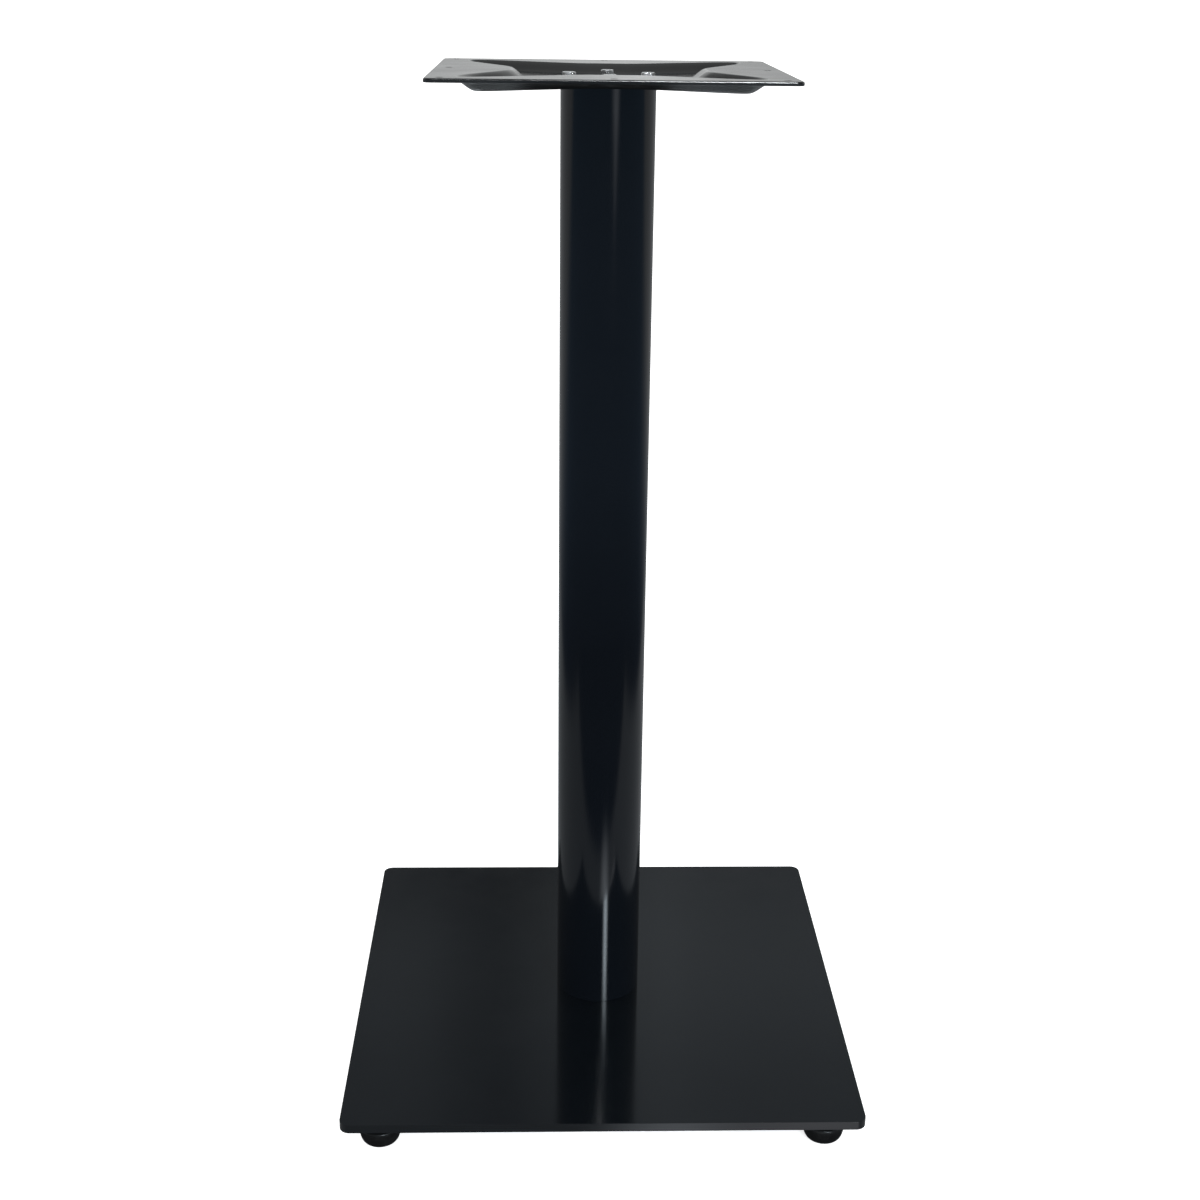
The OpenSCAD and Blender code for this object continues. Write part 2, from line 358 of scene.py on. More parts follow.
def turned(skin, profile, n, cx=0.0, cy=0.0, closed=False):
    """Surface of revolution through (r, z) points; a point on the axis is left out."""
    rings = [circle(cx, cy, r, n, z) for r, z in profile if r > 0]
    ids = skin.loft(rings)
    if closed:
        skin.bridge(ids[-1], ids[0])
    return ids


def finish_piece(skin, name, material, slot, body, *stands_for, sharp=38.0, place=None):
    bm = bmesh.new()
    vs = [bm.verts.new(p) for p in skin.points]
    for f in skin.faces:
        q = []
        for i in f:
            if vs[i] not in q:
                q.append(vs[i])
        if len(q) > 2:
            try:
                bm.faces.new(q)
            except ValueError:
                pass
    bmesh.ops.remove_doubles(bm, verts=bm.verts, dist=2e-7)
    loose = [v for v in bm.verts if not v.link_faces]
    bmesh.ops.delete(bm, geom=loose, context="VERTS")
    bmesh.ops.recalc_face_normals(bm, faces=bm.faces)
    mesh = bpy.data.meshes.new(name)
    bm.to_mesh(mesh)
    bm.free()
    if place is not None:
        mesh.transform(place)
    mesh.materials.append(material)
    mesh.polygons.foreach_set("use_smooth", [True] * len(mesh.polygons))
    mesh.set_sharp_from_angle(angle=math.radians(sharp))
    o = bpy.data.objects.new(name, mesh)
    scene.collection.objects.link(o)
    w = o.modifiers.new("even_shading", "WEIGHTED_NORMAL")
    w.mode = "FACE_AREA"
    w.weight = 50
    w.keep_sharp = True
    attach(o, body)
    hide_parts(*stands_for)
    return o


def quarter(steps):
    """(share out, share down) around a rounded edge, from the flat face to the side."""
    return [(math.sin(math.pi / 2 * i / steps), 1 - math.cos(math.pi / 2 * i / steps)) for i in range(steps + 1)]


# ---------------------------------------------------------------- base plate
W, CORNER, EDGE = 550 * MM, 11 * MM, 0.3 * MM
LOW, DECK = 35 * MM, 45 * MM
FOOT_P = 28 * MM / math.sqrt(2)
GLIDE_P = 236 * MM


def hole_wall(skin, cx, cy, r, z_top, z_low, lip, n=48):
    """Through hole with both lips rounded by lip. Gives the outline at the faces."""
    rings = [circle(cx, cy, r + lip * (1 - a), n, z_top - lip * b) for a, b in quarter(4)]
    rings += [circle(cx, cy, r + lip * (1 - a), n, z_low + lip * b) for a, b in reversed(quarter(4))]
    skin.loft(rings)
    return circle(cx, cy, r + lip, n)


s = Skin()
edge = quarter(6)
s.loft(
    [at_height(square_outline(W, CORNER, EDGE * (1 - a)), DECK - EDGE * b) for a, b in edge]
    + [at_height(square_outline(W, CORNER, EDGE * (1 - a)), LOW + EDGE * b) for a, b in reversed(edge)]
)
bolt_holes, blind = [], []
for x in (-1, 1):
    for y in (-1, 1):
        bolt_holes.append(hole_wall(s, x * FOOT_P, y * FOOT_P, 5.5 * MM, DECK, LOW, 0.3 * MM))
        r, lip, top = 5.05 * MM, 0.3 * MM, LOW + 7.5 * MM
        s.loft([circle(x * GLIDE_P, y * GLIDE_P, r + lip * (1 - a), 48, LOW + lip * b) for a, b in quarter(4)]
               + [circle(x * GLIDE_P, y * GLIDE_P, r, 48, top)])
        s.cap(circle(x * GLIDE_P, y * GLIDE_P, r, 48, top))
        blind.append(circle(x * GLIDE_P, y * GLIDE_P, r + lip, 48))
s.flat(square_outline(W, CORNER, EDGE), bolt_holes, DECK)
s.flat(square_outline(W, CORNER, EDGE), bolt_holes + blind, LOW)
finish_piece(s, "base_plate_skin", BASE, "base_plate_black", "frame", "base_plate", sharp=50)

# ---------------------------------------------------------------- column tube
s = Skin()
RO, RI, HEAD = 47.5 * MM, 45.5 * MM, 1066 * MM
lip = 0.4 * MM
outer_up = [(RO - lip * (1 - a), DECK + lip * b) for a, b in quarter(4)]
outer_top = [(RO - lip * (1 - a), HEAD - lip * b) for a, b in reversed(quarter(4))]
inner_top = [(RI + lip * (1 - a), HEAD - lip * b) for a, b in quarter(4)]
inner_low = [(RI + lip * (1 - a), DECK + lip * b) for a, b in reversed(quarter(4))]
straight = [(RO, DECK + (HEAD - DECK) * i / 12) for i in range(1, 12)]
turned(s, outer_up + straight + outer_top + inner_top + inner_low, 192, closed=True)
finish_piece(s, "column_tube_skin", COLUMN, "column_black", "frame", "column_tube")

# ---------------------------------------------------------------- mounting plate
TOP_W, TOP_T, TOP_R, TOP_EDGE, TOP_ROLL = 343 * MM, 4 * MM, 8 * MM, 0.8 * MM, 1.5 * MM
RIM, DISH, RUN = 1080 * MM, 10 * MM, 19 * MM


def cut_corners(p, times):
    for _ in range(times):
        q = []
        for a, b in zip(p, p[1:] + p[:1]):
            q.append((a[0] * 0.75 + b[0] * 0.25, a[1] * 0.75 + b[1] * 0.25))
            q.append((a[0] * 0.25 + b[0] * 0.75, a[1] * 0.25 + b[1] * 0.75))
        p = q
    return p


def star(eighth):
    side = eighth + [(y, x) for x, y in reversed(eighth)]
    turns = ((1, 0), (0, 1), (-1, 0), (0, -1))
    return [(x * c - y * d, x * d + y * c) for c, d in turns for x, y in side]


arm, tip = TOP_W / 2 - 25.5 * MM, TOP_W / 2 - 73.5 * MM
ring_top = cut_corners(star([(tip, 12 * MM), (tip, 27 * MM), (tip + 11 * MM, 50 * MM), (tip + 36 * MM, 98 * MM),
                             (arm - 2 * MM, arm - 23 * MM), (arm, arm - 7 * MM)]), 3)
ring_low = cut_corners(star([(tip - RUN, 12 * MM), (tip - RUN, 26 * MM), (tip - RUN + 12 * MM, 51 * MM),
                             (tip - RUN + 35 * MM, 93 * MM), (arm - RUN - 3 * MM, arm - RUN - 16 * MM),
                             (arm - RUN, arm - RUN - 5 * MM)]), 3)


def wall_ring(share, z):
    return [(a[0] + (b[0] - a[0]) * share, a[1] + (b[1] - a[1]) * share, z - DISH * share * share * (3 - 2 * share))
            for a, b in zip(ring_top, ring_low)]


s = Skin()
steps = 26
for z in (RIM, RIM - TOP_T):
    s.loft([wall_ring(i / steps, z) for i in range(steps + 1)])
s.loft(
    [at_height(square_outline(TOP_W, TOP_R, TOP_ROLL * (1 - a)), RIM - TOP_ROLL * b) for a, b in quarter(8)]
    + [at_height(square_outline(TOP_W, TOP_R, TOP_EDGE * (1 - a)), RIM - TOP_T + TOP_EDGE * b) for a, b in reversed(edge)]
)
screw_holes, head_holes = [], []
for k in range(4):
    c, d = ((1, 0), (0, 1), (-1, 0), (0, -1))[k]
    for x, y in ((157 * MM, 157 * MM), (157 * MM, 0.0)):
        screw_holes.append(hole_wall(s, x * c - y * d, x * d + y * c, 3.5 * MM, RIM, RIM - TOP_T, 0.35 * MM))
    head_holes.append(hole_wall(s, 39 * MM * c, 39 * MM * d, 4.5 * MM, RIM - DISH, RIM - DISH - TOP_T, 0.25 * MM))
for z, inset in ((RIM, TOP_ROLL), (RIM - TOP_T, TOP_EDGE)):
    s.flat(square_outline(TOP_W, TOP_R, inset), [ring_top] + screw_holes, z)
    s.flat(ring_low, head_holes, z - DISH)
finish_piece(s, "mounting_plate_skin", TOP, "mounting_plate_black", "frame", "mounting_plate", sharp=50)


# ---------------------------------------------------------------- fasteners
def hex_outline(af, fillet, n=10):
    """Hexagon with a corner on +X and slightly rounded corners, 6 * (n + 1) points."""
    r = af / 2 / math.cos(math.pi / 6)
    inner = r - fillet / math.cos(math.pi / 6)
    out = []
    for k in range(6):
        a = TAU / 6 * k
        cx, cy = inner * math.cos(a), inner * math.sin(a)
        for i in range(n + 1):
            b = a - math.pi / 6 + math.pi / 3 * i / n
            out.append((cx + fillet * math.cos(b), cy + fillet * math.sin(b)))
    return out


def spread(outline, per_side=6):
    """The same outline with extra points along its long sides."""
    out = []
    for a, b in zip(outline, outline[1:] + outline[:1]):
        n = per_side if math.dist(a, b) > 0.001 else 1
        out += [(a[0] + (b[0] - a[0]) * i / n, a[1] + (b[1] - a[1]) * i / n) for i in range(n)]
    return out


def hex_head_rings(af, h, base=0.0, flip=1.0):
    """Rings of a forged head: dished top, cone chamfer, softened edges, side, lower edge."""
    side = spread(hex_outline(af, 0.45 * MM))
    cone0, slope = af / 2 - 0.35 * MM, 0.687
    rings = []

    def round_ring(r, z):
        return [(r * x / math.hypot(x, y), r * y / math.hypot(x, y), base + flip * z) for x, y in side]

    rings.append(round_ring(cone0 * 0.50, h - 0.28 * MM))
    rings.append(round_ring(cone0 * 0.66, h - 0.25 * MM))
    rings.append(round_ring(cone0 * 0.76, h - 0.06 * MM))
    rings.append(round_ring(cone0 * 0.82, h))
    rings.append(round_ring(cone0 * 0.97, h))
    rings.append(round_ring(cone0 * 1.0, h - 0.015 * MM))
    rings.append(round_ring(cone0 * 1.02, h - 0.08 * MM))

    def cone_z(r):
        return h - max(0.0, r - cone0) * slope

    for inset, drop in ((0.28, 0.0), (0.1, 0.02), (0.03, 0.08), (0.0, 0.2)):
        ring = []
        for x, y in side:
            r = math.hypot(x, y)
            q = max(r - inset * MM, cone0 * 1.03)
            ring.append((x * q / r, y * q / r, base + flip * (cone_z(q) - drop * MM)))
        rings.append(ring)
    for inset, z in ((0.0, 0.25), (0.05, 0.09), (0.18, 0.0)):
        ring = []
        for x, y in side:
            r = math.hypot(x, y)
            ring.append((x * (r - inset * MM) / r, y * (r - inset * MM) / r, base + flip * z * MM))
        rings.append(ring)
    return rings


def ring_like(side, r, z):
    return [(r * x / math.hypot(x, y), r * y / math.hypot(x, y), z) for x, y in side]


def washer(name, x, y, z0, z1, od, hole, body, node):
    s = Skin()
    r0, r1, e = hole / 2, od / 2, 0.22 * MM
    profile = [(r1 - e * (1 - a), z1 - e * b) for a, b in quarter(4)]
    profile += [(r1 - e * (1 - a), z0 + e * b) for a, b in reversed(quarter(4))]
    profile += [(r0 + e * (1 - a) * 0.6, z0 + e * b * 0.6) for a, b in quarter(3)]
    profile += [(r0 + e * (1 - a) * 0.6, z1 - e * b * 0.6) for a, b in reversed(quarter(3))]
    turned(s, profile, 80, closed=True)
    finish_piece(s, name, ZINC, "fastener_zinc", body, node, place=Matrix.Translation((x, y, 0)))


def hex_bolt(name, x, y, z, turn_deg, af, h, d, pitch, length, down, node):
    """Head on the plane z, shank to the other side. down is 1 for a head on top."""
    s = Skin()
    rings = hex_head_rings(af, h)
    s.loft(rings)
    s.cap(rings[0])
    side = spread(hex_outline(af, 0.45 * MM))
    n = len(side)
    face = [ring_like(side, af / 2 * 0.95, 0.0), ring_like(side, d / 2 + 0.5 * MM, 0.0),
            ring_like(side, d / 2 + 0.15 * MM, -0.1 * MM), ring_like(side, d / 2 - 0.05 * MM, -0.5 * MM)]
    s.loft([rings[-1]] + face)
    angles = [math.atan2(p[1], p[0]) for p in side]
    rows = int((length - 1.6 * MM) / pitch * 7)
    low = []
    for j in range(rows + 1):
        z_at = -0.5 * MM - (length - 1.5 * MM) * j / rows
        end = min(j, rows - j) / 7
        grow = min(1.0, end)
        ring = []
        for a in angles:
            v = abs(((z_at / pitch - a / TAU) % 1.0) * 2 - 1)
            v = min(1.0, max(0.0, (v - 0.12) / 0.76))
            r = d / 2 - 0.05 * MM - 0.6 * pitch * (1 - v) * grow
            ring.append((r * math.cos(a), r * math.sin(a), z_at))
        low.append(ring)
    low.append(ring_like(side, d / 2 - 0.9 * MM, -length))
    s.loft([face[-1]] + low)
    s.cap(low[-1])
    if down:
        place = Matrix.Translation((x, y, z)) @ Matrix.Rotation(math.radians(turn_deg), 4, "Z")
    else:
        place = (Matrix.Translation((x, y, z)) @ Matrix.Rotation(math.radians(turn_deg), 4, "Z")
                 @ Matrix.Rotation(math.pi, 4, "X"))
    finish_piece(s, name, ZINC, "fastener_zinc", "frame", node, place=place, sharp=28)


for word, x, y, turn_deg in (("front", 0, -1, 11), ("rear", 0, 1, 18), ("left", -1, 0, -2), ("right", 1, 0, 1)):
    hex_bolt("head_bolt_%s_skin" % word, x * 39 * MM, y * 39 * MM, 1071.6 * MM, turn_deg, 12 * MM, 5.5 * MM,
             8 * MM, 1.25 * MM, 15 * MM, True, "head_bolt_" + word)
    washer("head_washer_%s_skin" % word, x * 39 * MM, y * 39 * MM, 1070 * MM, 1071.6 * MM, 16 * MM, 8.4 * MM,
           "frame", "head_washer_" + word)
for word, x, y, turn_deg in (("front_left", -1, -1, 8), ("front_right", 1, -1, 21), ("rear_left", -1, 1, 40), ("rear_right", 1, 1, -5)):
    hex_bolt("foot_bolt_%s_skin" % word, x * FOOT_P, y * FOOT_P, 33 * MM, turn_deg, 16 * MM, 6.4 * MM,
             10 * MM, 1.5 * MM, 21 * MM, False, "foot_bolt_" + word)
    washer("foot_washer_%s_skin" % word, x * FOOT_P, y * FOOT_P, 33 * MM, 35 * MM, 20 * MM, 10.5 * MM,
           "frame", "foot_washer_" + word)


# ---------------------------------------------------------------- weld nuts
def weld_nut(name, x, y, node):
    s = Skin()
    side = spread(hex_outline(17 * MM, 0.5 * MM))
    low, high, bore = 28 * MM, 35 * MM, 5.05 * MM
    rings = []
    cone0 = 17 * MM / 2 - 0.35 * MM
    rings.append(ring_like(side, bore, low + 0.7 * MM))
    rings.append(ring_like(side, bore + 0.7 * MM, low))
    rings.append(ring_like(side, cone0 * 0.98, low))
    rings.append(ring_like(side, cone0 * 1.01, low + 0.06 * MM))
    for inset, drop in ((0.25, 0.0), (0.06, 0.05), (0.0, 0.2)):
        ring = []
        for px, py in side:
            r = math.hypot(px, py)
            q = max(r - inset * MM, cone0 * 1.02)
            ring.append((px * q / r, py * q / r, low + (q - cone0) * 0.687 + drop * MM))
        rings.append(ring)
    rings.append([(px, py, high - 0.3 * MM) for px, py in side])
    rings.append([(px, py, high) for px, py in side])
    rings.append(ring_like(side, bore + 0.4 * MM, high))
    rings.append(ring_like(side, bore, high - 0.4 * MM))
    ids = s.loft(rings)
    angles = [math.atan2(p[1], p[0]) for p in side]
    thread = []
    rows = 30
    for j in range(1, rows):
        z_at = high - 0.4 * MM - (high - low - 1.1 * MM) * j / rows
        grow = min(1.0, min(j, rows - j) / 5)
        thread.append([((bore + 0.35 * MM * grow * abs(((z_at / 0.0015 - a / TAU) % 1.0) * 2 - 1)) * math.cos(a),
                        (bore + 0.35 * MM * grow * abs(((z_at / 0.0015 - a / TAU) % 1.0) * 2 - 1)) * math.sin(a), z_at)
                       for a in angles])
    s.loft([rings[-1]] + thread + [rings[0]])
    o = finish_piece(s, name, NUT, "welded_nut_black", "frame", node, place=Matrix.Translation((x, y, 0)), sharp=30)
    # three weld runs in the corner between the nut's flats and the plate
    for k in (0, 2, 4):
        b = Skin()
        a = TAU / 6 * (k + 0.5) + (0.2 if x * y > 0 else -0.1)
        centre = Vector((x, y, 0)) + Vector((math.cos(TAU / 6 * (k + 0.5)), math.sin(TAU / 6 * (k + 0.5)), 0)) * 8.5 * MM
        along = Vector((-math.sin(TAU / 6 * (k + 0.5)), math.cos(TAU / 6 * (k + 0.5)), 0))
        out = Vector((math.cos(TAU / 6 * (k + 0.5)), math.sin(TAU / 6 * (k + 0.5)), 0))
        runs = 40
        rows = []
        for i in range(runs + 1):
            u = i / runs
            half = math.sin(math.pi * min(1, max(0, u))) ** 0.35
            ripple = 1 + 0.10 * abs(math.sin(u * math.pi * 6 + a * 3))
            size = (1.7 * MM * ripple) * max(half, 0.02)
            base = centre + along * ((u - 0.5) * 8.2 * MM) + Vector((0, 0, high - 0.02 * MM))
            rows.append([tuple(base + out * (size * math.cos(t)) - Vector((0, 0, 1)) * (size * math.sin(t)))
                         for t in (0.0, 0.25, 0.5, 0.8, 1.1, 1.35, math.pi / 2)] + [tuple(base - out * 0.3 * MM)])
        b.loft(rows)
        b.cap(rows[0])
        b.cap(rows[-1])
        run = finish_piece(b, "%s_weld_%d" % (name, k // 2 + 1), NUT, "welded_nut_black", "frame", node, sharp=60)


for word, x, y in (("front_left", -1, -1), ("front_right", 1, -1), ("rear_left", -1, 1), ("rear_right", 1, 1)):
    weld_nut("weld_nut_%s_skin" % word, x * GLIDE_P, y * GLIDE_P, "weld_nut_" + word)


# ---------------------------------------------------------------- levelling glides
def smooth_profile(points, per=4):
    """Rounded curve through (r, z) points."""
    out = []
    p = [points[0]] + points + [points[-1]]
    for i in range(1, len(p) - 2):
        for k in range(per):
            t = k / per
            out.append(tuple(
                0.5 * (2 * p[i][c] + (p[i + 1][c] - p[i - 1][c]) * t
                       + (2 * p[i - 1][c] - 5 * p[i][c] + 4 * p[i + 1][c] - p[i + 2][c]) * t * t
                       + (3 * p[i][c] - p[i - 1][c] - 3 * p[i + 1][c] + p[i + 2][c]) * t ** 3) for c in (0, 1)))
    out.append(points[-1])
    return out


def glide(word, x, y):
    body = "glide_" + word
    s = Skin()
    outer = smooth_profile([(15.0, 0.0), (16.7, 0.7), (18.5, 2.2), (20.0, 4.6), (21.1, 8.0), (21.8, 12.0), (22.0, 15.4),
                            (22.0, 17.2)], 5)
    profile = [(4.0, 0.8), (10.6, 0.8), (11.2, 0.7), (11.7, 0.12), (12.1, 0.0)] + outer
    profile += [(22.0 - 2.4 * (1 - math.cos(t)), 17.2 + 2.8 * math.sin(t)) for t in (0.2, 0.4, 0.65, 0.9, 1.15, 1.4, math.pi / 2)]
    profile = [(min(r, 22.0) * MM, z * MM) for r, z in profile]
    n = 96
    turned(s, profile, n)
    s.cap(circle(0, 0, profile[0][0], n, profile[0][1]))
    rim = profile[-1][0]
    mouth = [(px, py) for px, py in hex_outline(17.1 * MM, 0.3 * MM, 6)]
    wide = [(px * 1.03, py * 1.03) for px, py in mouth]
    s.flat(circle(0, 0, rim, n), [wide], 20 * MM)
    s.loft([at_height(wide, 20 * MM), at_height([(px * 1.01, py * 1.01) for px, py in mouth], 19.85 * MM),
            at_height(mouth, 19.6 * MM), at_height(mouth, 18 * MM)])
    bore = 5 * MM
    s.flat(mouth, [circle(0, 0, bore, 48)], 18 * MM)
    s.loft([circle(0, 0, bore, 48, 18 * MM), circle(0, 0, bore, 48, 8 * MM)])
    s.cap(circle(0, 0, bore, 48, 8 * MM))
    finish_piece(s, "glide_pad_%s_skin" % word, PLASTIC, "glide_plastic", body, "glide_pad_" + word,
                 place=Matrix.Translation((x, y, 0)), sharp=40)

    s = Skin()
    n = 60
    side = spread(hex_outline(17 * MM, 0.4 * MM, 8), 4)
    angles = [math.atan2(p[1], p[0]) for p in side]

    def threaded(z0, z1, fade0, fade1):
        rows = int((z1 - z0) / (1.5 * MM) * 8)
        rings = []
        for j in range(rows + 1):
            z = z0 + (z1 - z0) * j / rows
            grow = min(1.0, j / 8 if fade0 else 1.0, (rows - j) / 8 if fade1 else 1.0)
            ring = []
            for a in angles:
                v = abs(((z / (1.5 * MM) - a / TAU) % 1.0) * 2 - 1)
                v = min(1.0, max(0.0, (v - 0.12) / 0.76))
                r = 5 * MM - 0.88 * MM * (1 - v) * grow
                ring.append((r * math.cos(a), r * math.sin(a), z))
            rings.append(ring)
        return rings

    low = threaded(8.6 * MM, 17.6 * MM, True, True)
    rings = [ring_like(side, 4.4 * MM, 8 * MM)] + low + [ring_like(side, 5 * MM, 18 * MM)]
    rings += [[(px * 0.985, py * 0.985, 18 * MM) for px, py in side], [(px, py, 18.2 * MM) for px, py in side]]
    cone0 = 8.15 * MM
    for inset, drop in ((0.0, 0.18), (0.06, 0.04), (0.3, 0.0)):
        ring = []
        for px, py in side:
            r = math.hypot(px, py)
            q = max(r - inset * MM, cone0 * 1.01)
            ring.append((px * q / r, py * q / r, 22 * MM - (q - cone0) * 0.6 - drop * MM))
        rings.append(ring)
    rings += [ring_like(side, cone0, 22 * MM), ring_like(side, cone0 * 0.96, 22 * MM),
              ring_like(side, 5.4 * MM, 22 * MM), ring_like(side, 5 * MM, 22.3 * MM)]
    rings += threaded(22.6 * MM, 35.9 * MM, True, True)
    rings += [ring_like(side, 4.9 * MM, 36.1 * MM), ring_like(side, 4.05 * MM, 36.95 * MM), ring_like(side, 3.8 * MM, 37 * MM)]
    s.loft(rings)
    s.cap(rings[0])
    s.cap(rings[-1])
    finish_piece(s, "glide_stud_%s_skin" % word, STUD, "stud_zinc", body, "glide_stud_" + word,
                 place=Matrix.Translation((x, y, 0)), sharp=30)


for word, x, y in (("front_left", -1, -1), ("front_right", 1, -1), ("rear_left", -1, 1), ("rear_right", 1, 1)):
    glide(word, x * GLIDE_P, y * GLIDE_P)

for name in ("column_foot_disc", "column_head_disc"):
    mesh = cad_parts[name].data
    mesh.materials.clear()
    mesh.materials.append(STEEL)

# ---------------------------------------------------------------- floor
floor_mesh = bpy.data.meshes.new("floor")
F = 75.0
floor_mesh.from_pydata([(-F, -F, 0), (F, -F, 0), (F, F, 0), (-F, F, 0)], [], [(0, 1, 2, 3)])
floor = bpy.data.objects.new("floor", floor_mesh)
scene.collection.objects.link(floor)
floor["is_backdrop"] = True
m = bpy.data.materials.new("pale_floor")
m.use_nodes = True
floor_mesh.materials.append(m)
g = Graph(m.node_tree)
out = g.add("ShaderNodeOutputMaterial")
path = g.add("ShaderNodeLightPath")
geo = g.add("ShaderNodeNewGeometry")
xyz = g.add("ShaderNodeSeparateXYZ")
g.links.new(geo.outputs["Position"], xyz.inputs[0])
X, Y = xyz.outputs[0], xyz.outputs[1]
R = g.math("SQRT", g.math("ADD", g.math("MULTIPLY", X, X), g.math("MULTIPLY", Y, Y)))
AX, AY = g.math("ABSOLUTE", X), g.math("ABSOLUTE", Y)
# painted reflection floor for glossy rays only: a painted lit sheet around the base, darker on its left than on its
# right, and darker floor beyond it
lit = g.math("MULTIPLY", g.span(Y, -0.535, -0.455), g.span(AX, 1.10, 0.88))
near_tone = g.mix(g.span(X, -0.35, 0.35), (0.225, 0.24, 0.25), (0.275, 0.29, 0.305))
dark_tone = g.mix(g.span(R, 0.9, 2.6), (0.026, 0.034, 0.05), (0.085, 0.125, 0.18))
dark_tone = g.mix(g.span(R, 7.0, 18.0), dark_tone, (0.09, 0.15, 0.22))
dark_tone = g.mix(g.span(Y, 0.3, 2.5), dark_tone, (0.30, 0.31, 0.32))
# lamp shine on the sheet, in line with the softbox, and the far end of the room
across = g.math("ABSOLUTE", g.math("ADD", g.math("MULTIPLY", X, 0.968), g.math("MULTIPLY", Y, 0.25)))
along = g.math("SUBTRACT", g.math("MULTIPLY", X, 0.25), g.math("MULTIPLY", Y, 0.968))
shine = g.math("MULTIPLY", g.span(across, 0.0, 0.11, 1.0, 0.0), g.span(along, 0.62, 0.38))
off_axis = g.math("ABSOLUTE", g.math("SUBTRACT", g.math("DIVIDE", X, g.math("MINIMUM", Y, -0.01)), -0.31))
off_axis = g.math("DIVIDE", off_axis, g.span(R, 9.0, 15.0, 1.0, 2.3))
door = g.math("MULTIPLY", g.span(off_axis, 0.01, 0.11, 1.0, 0.0), g.span(R, 6.6, 8.2))
door_tone = g.mix(g.span(R, 8.0, 16.0), (0.45, 0.50, 0.58), (1.0, 1.08, 1.2))
painted_reflection_tone = g.mix(lit, dark_tone, near_tone)
painted_reflection_tone = g.mix(g.math("MULTIPLY", shine, 0.8), painted_reflection_tone, (1.7, 1.82, 1.95))
painted_reflection_tone = g.mix(g.math("MULTIPLY", door, g.math("LESS_THAN", Y, 0.0)), painted_reflection_tone, door_tone)
# painted pool of light just in front of the right half of the front edge, and a painted shadow beneath the plate, both
# for reflections only
painted_light_spot = g.math("MULTIPLY", g.math("MULTIPLY", g.span(X, 0.02, 0.22), g.span(X, 0.312, 0.288)),
              g.span(g.math("ABSOLUTE", g.math("ADD", Y, 0.334)), 0.006, 0.03, 1.0, 0.0))
painted_reflection_tone = g.mix(painted_light_spot, painted_reflection_tone, (1.05, 1.06, 1.12))
# painted shadow: the floor in reflections goes dark beneath the plate's footprint
painted_shadow_under_plate = g.span(g.math("MAXIMUM", AX, AY), 0.312, 0.272)
painted_reflection_tone = g.mix(painted_shadow_under_plate, painted_reflection_tone, (0.03, 0.032, 0.034))
# painted light: a pale patch beneath the middle, for reflections only, which shows the foot bolts from below
painted_reflection_tone = g.mix(g.span(R, 0.25, 0.0), painted_reflection_tone, (0.34, 0.36, 0.38))
# painted reflection: the floor glows with this colour for glossy rays only; camera rays get an even pale floor and
# other rays an even soft glow
glossy = g.add("ShaderNodeEmission")
g.put(glossy.inputs["Color"], painted_reflection_tone)
glossy.inputs["Strength"].default_value = 1.0
pale = g.add("ShaderNodeBsdfDiffuse")
pale.inputs["Color"].default_value = (0.9, 0.9, 0.9, 1)
lift = g.add("ShaderNodeEmission")
lift.inputs["Color"].default_value = (1, 1, 1, 1)
lift.inputs["Strength"].default_value = 0.8
cam_side = g.add("ShaderNodeAddShader")
g.links.new(pale.outputs[0], cam_side.inputs[0])
g.links.new(lift.outputs[0], cam_side.inputs[1])
soft = g.add("ShaderNodeEmission")
soft.inputs["Color"].default_value = (0.95, 0.97, 1.0, 1)
soft.inputs["Strength"].default_value = 0.55
a = g.add("ShaderNodeMixShader")
g.links.new(path.outputs["Is Camera Ray"], a.inputs[0])
g.links.new(soft.outputs[0], a.inputs[1])
g.links.new(cam_side.outputs[0], a.inputs[2])
b = g.add("ShaderNodeMixShader")
g.links.new(path.outputs["Is Glossy Ray"], b.inputs[0])
g.links.new(a.outputs[0], b.inputs[1])
g.links.new(glossy.outputs[0], b.inputs[2])
clear = g.add("ShaderNodeBsdfTransparent")
c = g.add("ShaderNodeMixShader")
g.links.new(geo.outputs["Backfacing"], c.inputs[0])
g.links.new(b.outputs[0], c.inputs[1])
g.links.new(clear.outputs[0], c.inputs[2])
g.links.new(c.outputs[0], out.inputs[0])

# ---------------------------------------------------------------- world
world = bpy.data.worlds.new("studio")
scene.world = world
world.use_nodes = True
g = Graph(world.node_tree)
out = g.add("ShaderNodeOutputWorld")
path = g.add("ShaderNodeLightPath")
xyz = g.add("ShaderNodeSeparateXYZ")
g.links.new(g.add("ShaderNodeTexCoord").outputs["Generated"], xyz.inputs[0])
X, Y, Z = xyz.outputs
def product(graph, one, two):
    n = graph.add("ShaderNodeMix", data_type="RGBA", blend_type="MULTIPLY")
    n.inputs["Factor"].default_value = 1.0
    graph.put(n.inputs["A"], one)
    graph.put(n.inputs["B"], two)
    return n.outputs["Result"]


def greys(stops, tint=(1.0, 1.0, 1.0)):
    return [(at, tuple(v * c for c in tint)) for at, v in stops]


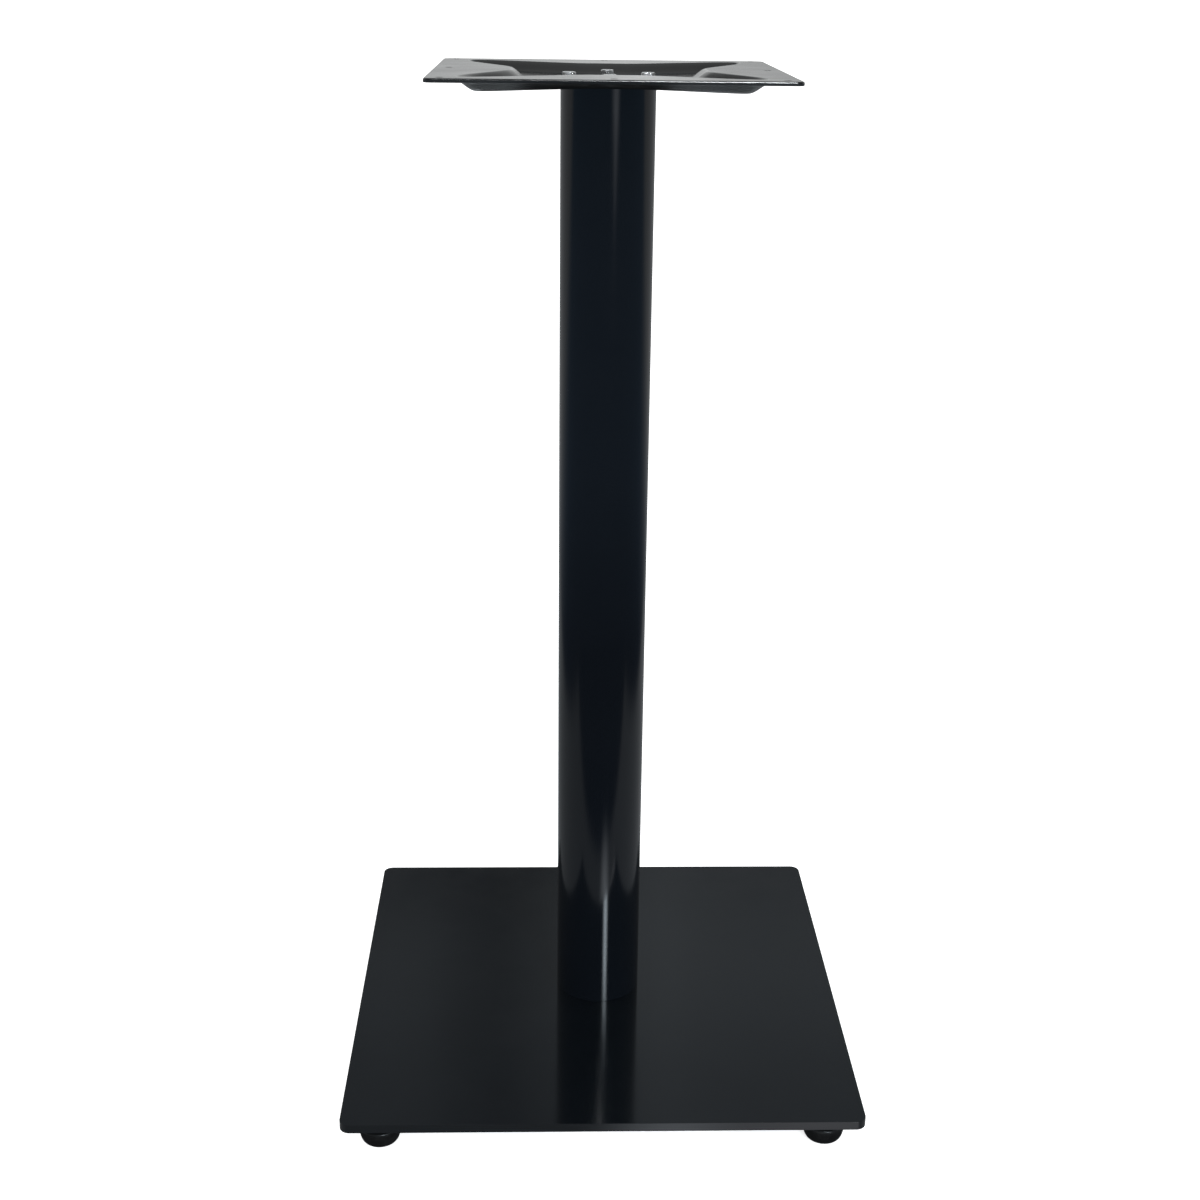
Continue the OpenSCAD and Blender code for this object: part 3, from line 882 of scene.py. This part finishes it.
COOL = (0.93, 1.01, 1.075)
wall = g.ramp(g.math("MAXIMUM", Z, 0.0),
              greys([(0.0, 0.40), (0.045, 0.56), (0.061, 0.92), (0.11, 0.95), (0.20, 0.90), (0.38, 0.90), (0.43, 0.60),
                     (0.46, 0.22), (0.64, 0.24), (0.82, 0.50), (1.0, 0.60)], (0.98, 1.0, 1.0)))
aside = g.ramp(g.span(X, -0.3, 0.4, kind="LINEAR"), greys([(0.0, 0.80), (0.36, 0.80), (0.44, 0.92), (0.50, 1.08), (0.53, 0.95), (0.57, 0.72), (1.0, 0.72)]))
wall = g.mix(g.span(Z, 0.24, 0.12), wall, product(g, wall, aside))
tone = g.ramp(g.span(X, -0.3, 0.4, kind="LINEAR"),
              greys([(0.0, 0.20), (0.26, 0.25), (0.30, 0.26), (0.33, 0.245), (0.36, 0.17), (0.392, 0.135), (0.416, 0.20), (0.46, 0.30),
                     (0.50, 0.36), (0.521, 0.40), (0.546, 0.34), (0.594, 0.315), (0.651, 0.315), (0.72, 0.28), (1.0, 0.20)], COOL))
dim_left = g.ramp(Z, greys([(0.46, 0.40), (0.488, 0.55), (0.508, 0.90), (0.53, 1.0), (0.582, 0.86), (0.62, 0.82)]))
dim_right = g.ramp(Z, greys([(0.46, 0.60), (0.488, 0.76), (0.508, 0.97), (0.53, 1.0), (0.575, 0.82), (0.62, 0.78)]))
band = g.math("MULTIPLY", g.span(Z, 0.43, 0.465), g.span(Z, 0.76, 0.64))
band = g.math("MULTIPLY", band, g.span(g.math("ABSOLUTE", g.math("SUBTRACT", X, 0.02)), 0.26, 0.19))
wide = g.math("ABSOLUTE", g.math("SUBTRACT", X, 0.02))
sides = g.math("MULTIPLY", g.math("MULTIPLY", g.span(wide, 0.17, 0.23), g.span(wide, 0.46, 0.38)), g.span(Z, 0.48, 0.455))
wall = g.mix(g.math("MULTIPLY", sides, g.span(Z, 0.36, 0.40)), wall, (0.90, 0.92, 0.92))
wall = g.mix(band, wall, product(g, tone, g.mix(g.span(X, 0.0, 0.04), dim_left, dim_right)))
front = g.ramp(g.math("MAXIMUM", Z, 0.0), [(0.0, (0.06, 0.065, 0.07)), (0.3, (0.10, 0.105, 0.11)), (0.5, (0.2, 0.21, 0.22)), (0.75, (0.22, 0.23, 0.24)), (1.0, (0.5, 0.52, 0.54))])
room = g.mix(g.span(Y, -0.25, 0.25), front, wall)
glossy = g.add("ShaderNodeBackground")
g.put(glossy.inputs["Color"], room)
glossy.inputs["Strength"].default_value = 1.0
pale = g.add("ShaderNodeBackground")
pale.inputs["Color"].default_value = (1.0, 1.0, 1.0, 1)
pale.inputs["Strength"].default_value = 0.85
mix = g.add("ShaderNodeMixShader")
g.links.new(path.outputs["Is Glossy Ray"], mix.inputs[0])
g.links.new(pale.outputs[0], mix.inputs[1])
g.links.new(glossy.outputs[0], mix.inputs[2])
g.links.new(mix.outputs[0], out.inputs[0])

# ---------------------------------------------------------------- softboxes
def softbox(name, place, target, wide, tall, radiance, spread=180.0, watts=None):
    lamp = bpy.data.lights.new(name, "AREA")
    lamp.shape = "RECTANGLE"
    lamp.size, lamp.size_y = wide, tall
    lamp.spread = math.radians(spread)
    lamp.color = (0.93, 0.97, 1.0)
    lamp.energy = radiance * math.pi * wide * tall if watts is None else watts
    o = bpy.data.objects.new(name, lamp)
    scene.collection.objects.link(o)
    o.location = place
    o.rotation_mode = "QUATERNION"
    o.rotation_quaternion = (Vector(target) - o.location).to_track_quat("-Z", "Y")
    o.visible_camera = False
    return o


# both with a grid, so that their mirror images stay small in the other views
cool = softbox("softbox_low", (1.0, -3.0, 1.785), (0.055, -0.18, 0.045), 0.9, 0.46, 0.0, 12.6, 0.63)
cool.data.color = (0.80, 0.915, 1.0)
high = softbox("softbox_high", (0.52, -3.0, 2.9), (0.11, -0.171, 1.08), 0.70, 0.6, 0.0, 18.0, 2.6)
high.visible_diffuse = False
# two gridded fills from below, for the underside of the mounting plate
for word, x, watts in (("left", -0.155, 0.168), ("right", 0.126, 0.21)):
    fill = softbox("fill_" + word, (x, -0.35, 0.03), (x, -0.13, 1.07), 0.14, 0.10, 0.0, 2.0, watts)
    fill.visible_glossy = False

# ---------------------------------------------------------------- sizes
low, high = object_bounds()
